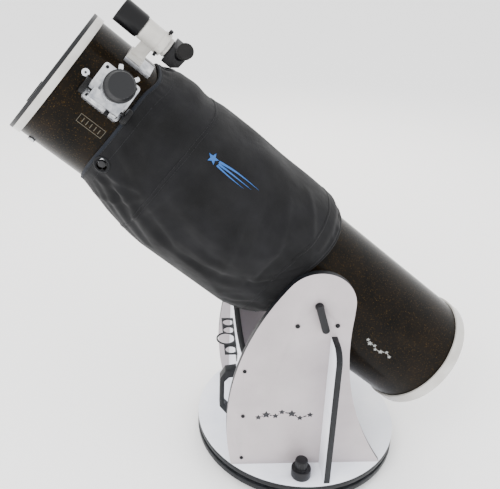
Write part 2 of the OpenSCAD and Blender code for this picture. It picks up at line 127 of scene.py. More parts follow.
# %% Camera
YAW, PITCH, ROLL = 1.92, 23.75, 0.42
yaw, pitch, roll = (math.radians(angle) for angle in (YAW, PITCH, ROLL))
ahead = Vector((math.sin(yaw) * math.cos(pitch), math.cos(yaw) * math.cos(pitch), -math.sin(pitch)))
level = Vector((math.cos(yaw), -math.sin(yaw), 0))
lift = level.cross(ahead)
right = level * math.cos(roll) + lift * math.sin(roll)
above = lift * math.cos(roll) - level * math.sin(roll)
camera_data = bpy.data.cameras.new("camera")
camera_data.lens, camera_data.sensor_width = 48.12, 36
camera_data.shift_x, camera_data.shift_y = 0.0944, -0.103
camera = new_object("camera", camera_data)
turn = Matrix((right, above, -ahead)).transposed()
camera.matrix_world = Matrix.Translation((-0.3672, -1.7396, 1.6337)) @ turn.to_4x4()
bpy.context.scene.camera = camera

# %% [markdown]
# Every finish below starts from what the thing is made of. Colours are written as hex values, as
# on a paint chart, and one function turns them to the linear numbers that a shader works in. One
# more function adds a node, so that a finish reads as a short list of what goes into what.

# %% Colour and node helpers
def paint(code):
    """An sRGB hex colour as linear red, green, blue and alpha."""
    parts = [int(code[i : i + 2], 16) / 255 for i in (1, 3, 5)]
    return (*(p / 12.92 if p < 0.04045 else ((p + 0.055) / 1.055) ** 2.4 for p in parts), 1)


def add(tree, kind, links=None, **settings):
    """Adds a node with its settings. An input is given a value, or the socket that feeds it."""
    made = tree.nodes.new(kind)
    for name, value in settings.items():
        setattr(made, name, value)
    for name, value in (links or {}).items():
        if isinstance(value, bpy.types.NodeSocket):
            tree.links.new(value, made.inputs[name])
        else:
            made.inputs[name].default_value = value
    return made


def finish(name, colour, roughness, metallic=0.0, **sockets):
    """A new material: returns it, its tree, its shader and its Object coordinates."""
    made = bpy.data.materials.new(name)
    made.use_nodes = True
    made.diffuse_color = paint(colour)
    tree = made.node_tree
    shader = tree.nodes["Principled BSDF"]
    shader.inputs["Base Color"].default_value = paint(colour)
    shader.inputs["Roughness"].default_value = roughness
    shader.inputs["Metallic"].default_value = metallic
    for socket, value in sockets.items():
        shader.inputs[socket.replace("_", " ")].default_value = value
    place = add(tree, "ShaderNodeTexCoord").outputs["Object"]
    return made, tree, shader, place


def grain(tree, place, size_mm, detail=2.0, stretch=None):
    """Noise whose features are about size_mm across, as a value from 0 to 1."""
    if stretch:
        place = add(tree, "ShaderNodeMapping", {"Vector": place, "Scale": stretch}).outputs["Vector"]
    cells = {"Vector": place, "Scale": 1000 / size_mm, "Detail": detail, "Roughness": 0.55}
    return add(tree, "ShaderNodeTexNoise", cells).outputs["Fac"]


def between(tree, amount, low, high):
    """Turns an amount from 0 to 1 into a value from low to high."""
    steps = {"Value": amount, "From Min": 0.3, "From Max": 0.7, "To Min": low, "To Max": high}
    return add(tree, "ShaderNodeMapRange", steps).outputs["Result"]


def blend_colours(tree, amount, first, second):
    """Two hex colours or colour sockets, mixed by an amount."""
    first, second = (paint(c) if isinstance(c, str) else c for c in (first, second))
    mixed = add(tree, "ShaderNodeMix", {0: amount, 6: first, 7: second}, data_type="RGBA")
    return mixed.outputs[2]


def relief(tree, shader, height, depth_mm, strength=1.0):
    """Bump on a shader, from a height pattern that is depth_mm deep."""
    bump = {"Height": height, "Distance": depth_mm * MM, "Strength": strength}
    tree.links.new(add(tree, "ShaderNodeBump", bump).outputs["Normal"], shader.inputs["Normal"])


def feed(tree, source, shader, socket):
    """Links a pattern to one of the shader's inputs."""
    tree.links.new(source, shader.inputs[socket])


# %% [markdown]
# The boards are melamine-faced chipboard. The face is a hard resin with a very fine pebble, and it
# keeps faint grey hand marks. All the boards are white; the side boards take a darker, warmer grey
# copy of the white melamine, which is painted shade on their upright faces. A black plastic band is glued round every
# edge.

# %% Board finishes
def surface_finish(name, colour, roughness, metallic=0.0, clouds=None, vivid=False, shine=None, skin=None, **sockets):
    """A material with up to three patterns, each given by its size in mm and its detail.

    clouds is (size, detail, first colour, second colour), and vivid clouds have more contrast. shine is
    (size, detail, lowest roughness, highest). skin is (size, detail, depth in mm, strength), and may end
    with a stretch that turns grains into lines.
    """
    made, tree, shader, place = finish(name, colour, roughness, metallic, **sockets)
    if clouds:
        size, detail, first, second = clouds
        amount = grain(tree, place, size, detail)
        amount = between(tree, amount, 0, 1) if vivid else amount
        feed(tree, blend_colours(tree, amount, first, second), shader, "Base Color")
    if shine:
        size, detail, low, high = shine
        feed(tree, between(tree, grain(tree, place, size, detail), low, high), shader, "Roughness")
    if skin:
        size, detail, depth_mm, strength, *stretch = skin
        relief(tree, shader, grain(tree, place, size, detail, *stretch), depth_mm, strength)
    return made


def melamine(name, shaded, clean):
    """Melamine: a hard resin face with a fine pebble and soft reflections."""
    return surface_finish(name, clean, 0.36, IOR=1.5, clouds=(160, 4, shaded, clean), vivid=True,
                          shine=(60, 3, 0.28, 0.46), skin=(1.4, 2, 0.05, 0.35))


MELAMINE = melamine("white_melamine", "#DCDFE9", "#EEF0F6")
# A darker, warmer copy of the white melamine for the side boards: painted shade on their faces
SHADED_MELAMINE = melamine("shaded_white_melamine", "#9F9799", "#B0A8AA")
# Black PVC edge band: smooth, slightly waxy, with faint paler clouds here and there
EDGE = surface_finish("edge_band", "#0A0B0D", 0.5, clouds=(18, 4, "#07080A", "#14161A"), vivid=True,
                      skin=(3, 2, 0.06, 0.4, (1, 1, 8)), Specular_IOR_Level=0.25)
# Natural nylon, turned: off-white, a little translucent, waxy to the eye
NYLON = surface_finish("turned_nylon", "#E4E1D6", 0.42, skin=(2, 2, 0.05, 0.3), Subsurface_Weight=0.1,
                       Subsurface_Scale=0.004)

# %% [markdown]
# The rolled tube is sprayed black with metal flake in the paint, under clear lacquer. Close to,
# gold and brown specks glint in it, and far off it only looks a warm black. Real flakes are under
# half a millimetre. They are drawn about two millimetres across here, so that they show at all.

# %% Tube enamel
def flake_enamel():
    """Black flake enamel under lacquer: sharp reflections over glinting specks."""
    made, tree, shader, place = finish("flake_enamel", "#0C0B0A", 0.4, 0.05, Coat_Weight=0.5, Coat_IOR=1.14,
                                       Specular_IOR_Level=0.04)
    shader.inputs["Coat Roughness"].default_value = 0.05
    flakes = add(tree, "ShaderNodeTexVoronoi", {"Vector": place, "Scale": 560.0})
    pick = add(tree, "ShaderNodeSeparateColor", {"Color": flakes.outputs["Color"]})
    bright = {"Value": pick.outputs[0], "From Min": 0.86, "From Max": 0.99, "To Max": 0.55}
    glint = add(tree, "ShaderNodeMapRange", bright).outputs["Result"]
    tone = blend_colours(tree, pick.outputs[1], "#20170C", "#54401F")
    ground = blend_colours(tree, between(tree, grain(tree, place, 90, 3), 0, 1), "#040403", "#130E08")
    feed(tree, blend_colours(tree, glint, ground, tone), shader, "Base Color")
    shine = {"Value": glint, "To Min": 0.04, "To Max": 0.9}
    feed(tree, add(tree, "ShaderNodeMapRange", shine).outputs["Result"], shader, "Metallic")
    relief(tree, shader, grain(tree, place, 40, 2), 0.25, 0.12)
    return made


# White gloss enamel: thick, smooth, with the faint waviness of sprayed paint
GLOSS_WHITE = surface_finish("gloss_white", "#B4B1AB", 0.26, clouds=(70, 3, "#A6A39D", "#BBB9B4"), vivid=True,
                             skin=(6, 1, 0.05, 0.25), Coat_Weight=0.3)
# Black powder coat on bent steel: satin, with an orange-peel skin
POWDER_COAT = surface_finish("powder_coat", "#0D0F12", 0.5, shine=(25, 3, 0.42, 0.6), skin=(1.6, 1, 0.12, 0.5),
                             Specular_IOR_Level=0.35)
# Aluminium casting, painted: a coarse sandy skin in dark grey
SAND_CASTING = surface_finish("sand_casting", "#242628", 0.6, 0.2, clouds=(12, 3, "#1B1C1E", "#303234"),
                              skin=(1.5, 4, 0.3, 0.6))

# %% [markdown]
# Bright metal is where a telescope looks costly. Chrome is almost a mirror, zinc plate is dull and
# a little blue, and the anodised plates keep the fine lines of the tool that cut them.

# %% Metal finishes
# Chrome plate on steel: nearly a mirror, slightly cool
CHROME = surface_finish("chrome_plate", "#D5D8DC", 0.12, 1.0, shine=(12, 3, 0.08, 0.2))
# Zinc plate: dull silver with bluish and yellowish clouds
ZINC = surface_finish("zinc_plate", "#A9ADB2", 0.38, 1.0, clouds=(9, 3, "#9AA2AC", "#BDB9AC"), skin=(0.8, 2, 0.05, 0.3))
# Drawn spring wire: bright, with an oily dark tone
SPRING_WIRE = surface_finish("spring_wire", "#8E9298", 0.3, 1.0, shine=(4, 2, 0.22, 0.42))
# Silver anodised aluminium: pale, satin, milled in one direction
SATIN_SILVER = surface_finish("satin_silver", "#B9BBC0", 0.32, 0.85, clouds=(22, 3, "#8F9299", "#D6D7D9"), vivid=True,
                              skin=(1.2, 2, 0.04, 0.25, (1, 14, 1)))
# Drawn aluminium rod: bright, with lines along its length
DRAWN_ROD = surface_finish("drawn_rod", "#C9CBCE", 0.28, 1.0, skin=(1.0, 2, 0.03, 0.3, (6, 6, 1)))
# Plain aluminium sheet: grey, with mill lines
MILL_SHEET = surface_finish("mill_sheet", "#8C8F92", 0.42, 1.0, skin=(1.5, 2, 0.04, 0.3, (10, 1, 1)))
# Black anodised aluminium: deep satin black with a metal edge to its shine
BLACK_ANODISED = surface_finish("black_anodised", "#08080A", 0.36, 0.3, shine=(20, 3, 0.28, 0.42),
                                skin=(0.9, 2, 0.03, 0.3), Specular_IOR_Level=0.3)
# Black oxide screws: thin dark skin that lets the steel shine through
BLACK_OXIDE = surface_finish("black_oxide", "#1B1C1E", 0.4, 0.8, shine=(2, 2, 0.32, 0.5))

# %% [markdown]
# Knobs, caps and levers are moulded black plastic with a spark-eroded skin, a fine even pebble
# that stops them shining. Rubber is duller still, and grey dust settles in it.

# %% Plastic, rubber and glass
# Moulded black plastic: satin, finely pebbled
MOULDED_BLACK = surface_finish("moulded_black", "#0C0C0E", 0.42, clouds=(30, 3, "#08080A", "#131317"),
                               skin=(0.9, 3, 0.08, 0.5), Specular_IOR_Level=0.3)
# Thin vacuum-formed cap: dark grey, smoother than the knobs
CAP_PLASTIC = surface_finish("cap_plastic", "#0D0E11", 0.36, shine=(50, 3, 0.4, 0.48), skin=(1.2, 2, 0.05, 0.4),
                             Specular_IOR_Level=0.35)
# Moulded rubber: matte black with pale dust in the pores
RUBBER = surface_finish("moulded_rubber", "#0B0B0B", 0.82, clouds=(14, 4, "#080808", "#171616"),
                        skin=(1.1, 3, 0.12, 0.6), Specular_IOR_Level=0.3)
# Vacuum-deposited aluminium under quartz: a true mirror
MIRROR_COATING = surface_finish("mirror_coating", "#E9EEF2", 0.015, 1.0)


def coated_glass():
    """Coated lens glass: clear, with the blue-green glance of its coating."""
    made, _tree, shader, _place = finish("coated_glass", "#C7E4E8", 0.02, IOR=1.52)
    shader.inputs["Transmission Weight"].default_value = 0.9
    shader.inputs["Coat Weight"].default_value = 1.0
    shader.inputs["Coat Tint"].default_value = paint("#7FB6D9")
    return made


def ink(name, colour, roughness=0.5):
    """Printed ink or a sticker: flat colour, slightly uneven."""
    return surface_finish(name, colour, roughness, shine=(6, 2, roughness - 0.08, roughness + 0.08))


FINISH = {
    "melamine_board": SHADED_MELAMINE,
    "board_panel": MELAMINE,
    "black_rubber": RUBBER,
    "nylon": NYLON,
    "zinc_steel": ZINC,
    "black_screw": BLACK_OXIDE,
    "black_plastic": MOULDED_BLACK,
    "handle_steel": POWDER_COAT,
    "tube_enamel": flake_enamel(),
    "white_enamel": GLOSS_WHITE,
    "hoop_casting": SAND_CASTING,
    "primary_glass": MIRROR_COATING,
    "carrier_plate": MILL_SHEET,
    "spring_steel": SPRING_WIRE,
    "chrome_screw": CHROME,
    "strut_alloy": DRAWN_ROD,
    "focuser_alloy": SATIN_SILVER,
    "black_anodised": BLACK_ANODISED,
    "cap_plastic": CAP_PLASTIC,
    "lens_glass": coated_glass(),
}
FINISH["cell_casting"] = FINISH["hoop_casting"]
FINISH["secondary_glass"] = FINISH["primary_glass"]
FINISH["drawtube_chrome"] = FINISH["chrome_screw"]
FINISH["finder_white"] = FINISH["white_enamel"]
print("finishes:", len(set(FINISH.values())) + 1)

# %% [markdown]
# A machined or moulded edge is never a knife edge: it has a small round that catches a line of
# light. The frame's meshes are sharp, and may not be changed. So each piece is copied, its loose
# triangles are joined, flat faces are made whole, and its sharp edges are rounded a little. The
# copy then stands in for the piece.

# %% Rounding the edges of a piece
def joined_copy(node):
    """A bmesh of a frame piece, with its triangles joined and its flat faces made whole."""
    shape = bmesh.new()
    shape.from_mesh(cad[node].data)
    bmesh.ops.remove_doubles(shape, verts=shape.verts, dist=0.00002)
    bmesh.ops.dissolve_limit(
        shape, angle_limit=math.radians(0.6), verts=shape.verts, edges=shape.edges, delimit={"NORMAL"}
    )
    bmesh.ops.recalc_face_normals(shape, faces=shape.faces)
    return shape


def new_piece(name, shape, materials):
    """An object from a bmesh, at the origin, with these materials."""
    mesh = bpy.data.meshes.new(name)
    shape.to_mesh(mesh)
    shape.free()
    for material in materials:
        mesh.materials.append(material)
    return new_object(name, mesh)


def plain_mesh(piece):
    """The mesh that a piece's modifiers make, or a curve's thickness."""
    return bpy.data.meshes.new_from_object(piece.evaluated_get(bpy.context.evaluated_depsgraph_get()))


def settle(piece):
    """Applies every modifier of a piece, so that what is left is a plain mesh."""
    mesh = plain_mesh(piece)
    piece.modifiers.clear()
    old, piece.data = piece.data, mesh
    mesh.name = piece.name
    bpy.data.meshes.remove(old)
    return piece


SHARP = math.radians(32)


def rounded(node, round_mm, materials=None, choose=None, steps=2):
    """A frame piece with its sharp edges rounded, in place of the frame's own."""
    piece = new_piece(node + "_finished", joined_copy(node), materials or [FINISH[slot_of[node]]])
    if choose:
        for face in piece.data.polygons:
            face.material_index = choose(face)
    edges = piece.modifiers.new("round", "BEVEL")
    edges.width, edges.segments = round_mm * MM, steps
    edges.limit_method, edges.angle_limit = "ANGLE", SHARP
    edges.use_clamp_overlap = True
    edges.harden_normals = False
    settle(piece)
    piece.data.shade_smooth()
    piece.data.set_sharp_from_angle(angle=SHARP)
    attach(piece, body_of[node])
    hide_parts(node)
    return piece


# %% [markdown]
# Boards first. Which faces are white and which are banded follows from their direction: a board's
# two broad faces point along its thickness, and everything else is an edge or a screw hole.

# %% Boards
BROAD = {
    "base_disc": (0, 0, 1),
    "side_board_near": (0, 1, 0),
    "side_board_far": (0, 1, 0),
    "front_panel": (1, 0, 0),
    "braces": (1, 0, 0),
}


def banded(direction):
    """Chooses the white face for what points along the board's thickness, and the band for edges."""
    across = Vector(direction)
    return lambda face: 0 if abs(face.normal.dot(across)) > 0.9 else 1


for node, direction in BROAD.items():
    rounded(node, 0.9, [FINISH[slot_of[node]], EDGE], banded(direction))
rounded("ground_board", 0.9, [EDGE])

# %% The rest of the hard pieces
ROUND_MM = {
    0.3: ("bearing_pads", "board_screws", "roller_bolts", "lock_screws", "spider_nuts", "focus_lock_screw",
          "adapter_screw_1", "adapter_screw_2", "mirror_carrier", "secondary_mirror", "finder_screws",
          "eyepiece_rack", "spider", "drawtube", "finder_lens"),
    0.6: ("pivot_bolt", "cradle_rollers", "mirror_cell", "secondary_holder", "focuser_base", "eyepiece_adapter",
          "finder_shoe", "finder_bracket", "strut_caps", "collimation_knob_1", "collimation_knob_2",
          "collimation_knob_3", "front_ring", "rear_ring", "dew_shield", "primary_mirror", "cap_plug"),
    1.2: ("feet", "strut_guide_ring", "cage_ring", "trunnions", "finder_eyepiece", "dust_cap"),
    2.2: ("azimuth_knob", "tension_lever_near", "tension_lever_far", "clamp_knob_1", "clamp_knob_2",
          "clamp_knob_3", "focus_shaft", "focuser_cap", "finder_diagonal", "carry_handle"),
}
for size, nodes in ROUND_MM.items():
    for node in nodes:
        rounded(node, size, steps=3 if size > 1 else 2)

# Pieces whose shape needs no rounding keep the frame's own mesh and take a better finish
for node in ("lower_tube", "upper_tube", "struts", "collimation_springs", "finder_tube"):
    cad[node].data.materials.clear()
    cad[node].data.materials.append(FINISH[slot_of[node]])

# %% [markdown]
# The shroud is a sleeve of black nylon that keeps stray light out of the open struts. It is cut
# straight, and gathered by elastic at both ends, so it bags between them and creases near the
# hems. It is made as a grid that already has the gathered form, with the straight cut kept as a
# second shape. The cloth solver then finds the creases: it wants the size of the straight cut, and
# only the hems are held.

# %% Shape of the shroud before it is draped
REAR_HEM, FRONT_HEM = 45 * MM, 718 * MM
CUT_R, CUT_LENGTH = 226 * MM, 0.72
AROUND, LENGTHWAYS = 144, 74
SIDE_ROOM = (-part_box("side_board_near")[1].y) - 6 * MM
PROFILE = ((0.0, 181.5), (0.02, 205), (0.055, 221), (0.25, 224), (0.5, 223), (0.67, 221), (0.8, 209), (0.9, 196),
           (0.96, 187), (1.0, 180.5))
TOP_FULLNESS = ((0.0, 0), (0.7, 0), (0.9, 21), (0.95, 19), (1.0, 0))


def bell(angle, middle, width):
    """A smooth bump from 0 to 1 round an angle in degrees."""
    off = (angle - middle + 180) % 360 - 180
    return math.exp(-((off / width) ** 2))


def shroud_span(angle):
    """Where the rear and front hems lie at an angle: clear of the bearings, the finder and the focuser."""
    rear = REAR_HEM + 34 * MM * math.cos(math.radians(angle)) ** 6
    front = FRONT_HEM - 17 * MM * bell(angle, 68, 18) - 26 * MM * bell(angle, -78, 34)
    return rear, front


def along_profile(profile, share):
    """A size in metres from a profile, between 0 at the rear hem and 1 at the front."""
    for (s0, r0), (s1, r1) in zip(profile, profile[1:]):
        if share <= s1:
            step = (share - s0) / (s1 - s0)
            step = step * step * (3 - 2 * step)
            return (r0 + (r1 - r0) * step) * MM
    return profile[-1][1] * MM


def sleeve_point(share, angle):
    """A point of the gathered sleeve, pressed in where the side boards stand close."""
    rear, front = shroud_span(angle)
    along = rear + (front - rear) * share
    radius = along_profile(PROFILE, share) + along_profile(TOP_FULLNESS, share) * bell(angle, 105, 55)
    sag = 7 * MM * bell(angle, -73, 60) * math.sin(math.pi * share) ** 2
    loose = math.sin(math.pi * share)
    uneven = noise.noise(Vector((along * 9, *(outward(angle).yz * 2.2)))) * 6 * MM * loose
    point = on_tube(along, angle, radius + sag + uneven)
    if along < 185 * MM and abs(point.y) > SIDE_ROOM:
        point.y = math.copysign(SIDE_ROOM, point.y)
    return point


def sleeve_mesh():
    """The sleeve as a closed grid round the tube, with a UV map in metres of cloth."""
    rows = [[sleeve_point(v / LENGTHWAYS, 360 * u / AROUND) for u in range(AROUND)] for v in range(LENGTHWAYS + 1)]
    points = [point for row in rows for point in row]
    faces = []
    for v in range(LENGTHWAYS):
        for u in range(AROUND):
            after = (u + 1) % AROUND
            faces.append((v * AROUND + u, v * AROUND + after, (v + 1) * AROUND + after, (v + 1) * AROUND + u))
    mesh = bpy.data.meshes.new("shroud_cloth")
    mesh.from_pydata(points, [], faces)
    flat = mesh.uv_layers.new(name="cloth")
    for face in mesh.polygons:
        v, u = divmod(face.index, AROUND)
        corners = ((u, v), (u + 1, v), (u + 1, v + 1), (u, v + 1))
        for loop, (across, along) in zip(face.loop_indices, corners):
            flat.data[loop].uv = (across / AROUND * 2 * math.pi * CUT_R, along / LENGTHWAYS * CUT_LENGTH)
    return mesh


shroud = new_object("shroud_cloth", sleeve_mesh())
print("shroud grid:", len(shroud.data.vertices), "points")

# %% Draping the shroud
DRAPE_FRAMES = 26
FURTHEST = 13 * MM
DRUM_R = 178 * MM


def former(name, start, end):
    """A hidden drum that the cloth rests on while it is draped."""
    bpy.ops.mesh.primitive_cylinder_add(vertices=64, radius=DRUM_R, depth=end - start)
    drum = bpy.context.object
    drum.name = name
    drum.matrix_world = standing(on_tube((start + end) / 2, 0, 0), ALONG)
    drum.modifiers.new("solid", "COLLISION")
    drum.collision.thickness_outer = 2 * MM
    return drum


def drape(cloth):
    """Lets the cloth find its folds, then keeps the result as its mesh."""
    count = len(cloth.data.vertices)
    start = [vertex.co.copy() for vertex in cloth.data.vertices]
    held = cloth.vertex_groups.new(name="hems")
    edge_rows = [i for i in range(count) if i // AROUND in (0, LENGTHWAYS)]
    held.add(edge_rows, 1.0, "REPLACE")
    next_rows = [i for i in range(count) if i // AROUND in (1, LENGTHWAYS - 1)]
    held.add(next_rows, 0.6, "REPLACE")
    cloth.shape_key_add(name="gathered")
    cut = cloth.shape_key_add(name="straight_cut")
    for i in range(count):
        row, column = divmod(i, AROUND)
        cut.data[i].co = on_tube(REAR_HEM + CUT_LENGTH * row / LENGTHWAYS, 360 * column / AROUND, CUT_R * 1.012)
    cloth.active_shape_key_index = 0
    solver = cloth.modifiers.new("drape", "CLOTH")
    set_up = solver.settings
    set_up.quality, set_up.mass, set_up.time_scale = 7, 0.2, 0.8
    set_up.tension_stiffness = set_up.compression_stiffness = 22
    set_up.shear_stiffness, set_up.bending_stiffness, set_up.air_damping = 4, 0.35, 4
    set_up.vertex_group_mass, set_up.rest_shape_key = "hems", cut
    set_up.use_pressure, set_up.uniform_pressure_force = True, 0.6
    set_up.effector_weights.gravity = 0.5
    solver.collision_settings.collision_quality = 3
    solver.collision_settings.distance_min = 2 * MM
    solver.point_cache.frame_end = DRAPE_FRAMES
    for number in range(1, DRAPE_FRAMES + 1):
        bpy.context.scene.frame_set(number)
    shown = cloth.evaluated_get(bpy.context.evaluated_depsgraph_get())
    end = [vertex.co.copy() for vertex in shown.data.vertices]
    bpy.context.scene.frame_set(1)
    cloth.modifiers.clear()
    cloth.shape_key_clear()
    for vertex, first, last in zip(cloth.data.vertices, start, end):
        move = last - first
        vertex.co = first + move * min(1, FURTHEST / max(move.length, 1e-9))


FOLDS = (
    # along and angle at one end, then at the other, in mm and degrees, with the height and half width in mm
    (690, -26, 566, -14, 5.0, 8), (686, -30, 560, -34, -3.5, 7), (676, -36, 560, -22, 3.5, 8),
    (640, -62, 540, -8, 3.8, 7), (560, 2, 520, 62, -3.6, 8), (538, -44, 505, 28, 4.0, 8),
    (250, -34, 330, 22, 3.6, 9), (205, -24, 285, 28, -3.6, 9), (170, -6, 240, 46, 3.2, 8),
    (110, 24, 190, 66, 3.2, 8), (320, -62, 420, -28, 3.2, 10), (150, -62, 260, -40, 3.4, 9),
    (600, 118, 470, 150, 3.8, 9), (420, 170, 300, 196, -3.4, 9), (240, 128, 150, 158, 3.6, 9),
    (560, 205, 420, 232, 3.6, 9), (260, 214, 160, 250, 3.4, 9), (640, 160, 580, 200, 3.4, 8),
)


FOLD_DEPTH = 1.7 * MM


def fold_lift(along, angle):
    """How far the long slanting folds lift a spot of the cloth, in metres."""
    lift = 0.0
    for s0, a0, s1, a1, height, half in FOLDS:
        run, turn = (s1 - s0) * MM, math.radians(a1 - a0) * CUT_R
        away, round_by = along - s0 * MM, math.radians((angle - a0 + 180) % 360 - 180) * CUT_R
        length = math.hypot(run, turn)
        share = (away * run + round_by * turn) / length**2
        off = abs(away * turn - round_by * run) / length
        if -0.1 < share < 1.1:
            fade = math.sin(math.pi * min(1, max(0, (share + 0.1) / 1.2))) ** 0.7
            lift += height * FOLD_DEPTH * fade * math.exp(-((off / (half * MM)) ** 2))
    return lift


TIGHTEST, FULLEST = 180.2 * MM, 234 * MM


def fitted(point):
    """Adds the slanting folds, and keeps the cloth outside the tube and clear of the side boards."""
    along, angle, radius = tube_measure(point)
    radius += fold_lift(along, angle)
    smallest = TIGHTEST
    for strut in STRUT_ANGLES:
        smallest += 23 * MM * bell(angle, strut, 7) * math.exp(-(((along - 160 * MM) / (26 * MM)) ** 2))
    point = on_tube(along, angle, min(max(radius, smallest), FULLEST))
    if along < 182 * MM and abs(point.y) > SIDE_ROOM:
        point.y = math.copysign(SIDE_ROOM, point.y)
    return point


drums = [former("rear_drum", 100 * MM, LOWER_FRONT), former("front_drum", CAGE_REAR, 716 * MM)]
drape(shroud)
for drum in drums:
    bpy.data.objects.remove(drum)
for vertex in shroud.data.vertices:
    vertex.co = fitted(vertex.co)
print("shroud reaches", [round(max(v.co[i] for v in shroud.data.vertices), 3) for i in range(3)])

# %% [markdown]
# Woven nylon shows two sets of threads crossing. The pattern follows the cloth's own map, in
# metres, so that it bends with the folds. Real threads are a third of a millimetre apart. They are
# drawn 3 mm apart here, so that the weave just shows. The face has a faint sheen at the edges of
# each fold, and bluish and brownish clouds where it has been handled.

# %% Cloth finish
THREAD_MM = 3.0


def woven(name, dark, light, thread_mm, sheen):
    """Woven cloth on a map in metres."""
    made, tree, shader, place = finish(name, dark, 0.78, Sheen_Weight=sheen, Sheen_Roughness=0.45,
                                        Specular_IOR_Level=0.15)
    cloth = add(tree, "ShaderNodeUVMap", uv_map="cloth").outputs["UV"]
    threads = []
    for direction in ("X", "Y"):
        wave = {"Vector": cloth, "Scale": 1000 / thread_mm / 20 * math.pi, "Distortion": 0.4, "Detail": 1.0}
        threads.append(add(tree, "ShaderNodeTexWave", wave, bands_direction=direction).outputs["Fac"])
    weave = add(tree, "ShaderNodeMath", {0: threads[0], 1: threads[1]}, operation="MAXIMUM").outputs[0]
    clouds = between(tree, grain(tree, place, 110, 4), 0, 1)
    worn = blend_colours(tree, clouds, dark, light)
    shade = add(tree, "ShaderNodeMath", {0: weave, 1: 0.25}, operation="MULTIPLY").outputs[0]
    feed(tree, blend_colours(tree, shade, worn, light), shader, "Base Color")
    feed(tree, between(tree, grain(tree, place, 60, 2), 0.68, 0.88), shader, "Roughness")
    fold = grain(tree, place, 22, 3)
    height = add(tree, "ShaderNodeMath", {0: weave, 1: 0.14, 2: fold}, operation="MULTIPLY_ADD").outputs[0]
    relief(tree, shader, height, 2.2, 0.55)
    return made


NYLON_CLOTH = woven("shroud_nylon", "#0C0C0C", "#171719", THREAD_MM, 0.05)
HEM_TAPE = woven("hem_tape", "#111318", "#1D2026", 2.4, 0.05)
THREAD = ink("sewing_thread", "#17181B", 0.7)
FINISH["shroud_cloth"] = NYLON_CLOTH

# %% [markdown]
# The clamps and their caps come out through eyelets in the cloth. The holes are cut before the
# cloth gets its thickness, and each has a pressed rim. Then the sheet is thickened and smoothed.

# %% Eyelets and the thickness of the cloth
EYELET_R = 15 * MM
SEAM_SHARE = 0.73


def cloth_path(along_share, lift_mm):
    """The points of the cloth along one row of its grid, lifted off its face."""
    at = along_share * LENGTHWAYS
    row, part = int(min(at, LENGTHWAYS - 1)), at - int(min(at, LENGTHWAYS - 1))
    points = []
    for column in range(AROUND):
        low, high = (shroud_rest[(row + k) * AROUND + column] for k in (0, 1))
        point = low.lerp(high, part)
        _along, angle, _radius = tube_measure(point)
        points.append(point + outward(angle) * lift_mm * MM)
    return points


shroud_rest = [vertex.co.copy() for vertex in shroud.data.vertices]
sheet_shape = bmesh.new()
sheet_shape.from_mesh(shroud.data)
eyelets = [on_tube(CAP_S, angle, 183 * MM) for angle in STRUT_ANGLES]
near_cap = [f for f in sheet_shape.faces if any((f.calc_center_median() - e).length < EYELET_R for e in eyelets)]
bmesh.ops.delete(sheet_shape, geom=near_cap, context="FACES")
sheet_shape.to_mesh(shroud.data)
sheet_shape.free()
shroud.data.materials.append(NYLON_CLOTH)
shroud.data.shade_smooth()
smooth = shroud.modifiers.new("smooth", "SUBSURF")
smooth.levels = smooth.render_levels = 1
wall = shroud.modifiers.new("wall", "SOLIDIFY")
wall.thickness, wall.offset = 0.9 * MM, 0
settle(shroud)

# %% [markdown]
# Everything sewn on the cloth must move as the cloth does: when the upper cage slides down the
# struts, the sleeve shortens between the two tubes. Here the cloth and every sewn piece only have
# their placement baked into their points, and they stay where they are.


def sewn(piece):
    """A piece that is sewn to the shroud, with its placement baked into its points."""
    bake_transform(piece)
    return piece


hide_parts("shroud")
sewn(shroud)


TAPE_STEP = 9.5 * MM  # the length of tape from one column of the grid to the next


def closed_band(name, path, width_mm, thick_mm, material):
    """A flat tape that lies on the cloth all the way round, with a slightly raised middle."""
    band = bmesh.new()
    texture = band.loops.layers.uv.new("cloth")
    section = ((-1, 0), (-0.8, 0.8), (0, 1.35), (0.8, 0.8), (1, 0), (0, -0.4))
    rings = []
    for point in path:
        _along, angle, _radius = tube_measure(point)
        ring = [
            band.verts.new(point + ALONG * across * width_mm / 2 * MM + outward(angle) * up * thick_mm * MM)
            for across, up in section
        ]
        rings.append(ring)
    count = len(section)
    for i, ring in enumerate(rings):
        after = rings[(i + 1) % len(rings)]
        for k in range(count):
            face = band.faces.new((ring[k], after[k], after[(k + 1) % count], ring[(k + 1) % count]))
            for loop, (along, across) in zip(face.loops, ((i, k), (i + 1, k), (i + 1, k + 1), (i, k + 1))):
                loop[texture].uv = (along * TAPE_STEP, across * width_mm * MM / 3)
    bmesh.ops.recalc_face_normals(band, faces=band.faces)
    piece = new_piece(name, band, [material])
    piece.data.shade_smooth()
    return sewn(piece)


closed_band("front_hem_tape", cloth_path(0.992, 0.9), 9, 1.0, HEM_TAPE)
closed_band("rear_hem_tape", cloth_path(0.008, 0.9), 8, 1.0, NYLON_CLOTH)
closed_band("middle_seam", cloth_path(SEAM_SHARE, 0.5), 9, 0.9, NYLON_CLOTH)
closed_band("rear_seam", cloth_path(0.1, 0.5), 8, 0.8, NYLON_CLOTH)

# %% [markdown]
# Stitches repeat along a path, which is what Geometry Nodes are good at. The tree spaces points
# along a curve, turns a small thread to follow it at each point, and makes real mesh of the lot.

# %% A tree that stitches along a path
def socket_named(tree, name):
    """The identifier of a tree's input, by its name."""
    return next(item.identifier for item in tree.interface.items_tree if item.name == name)


def new_tree(name, numbers):
    """An empty geometry tree with named number inputs and a Material input."""
    tree = bpy.data.node_groups.new(name, "GeometryNodeTree")
    tree.interface.new_socket("Geometry", in_out="INPUT", socket_type="NodeSocketGeometry")
    for label in numbers:
        tree.interface.new_socket(label, in_out="INPUT", socket_type="NodeSocketFloat")
    tree.interface.new_socket("Material", in_out="INPUT", socket_type="NodeSocketMaterial")
    tree.interface.new_socket("Geometry", in_out="OUTPUT", socket_type="NodeSocketGeometry")
    return tree, add(tree, "NodeGroupInput").outputs


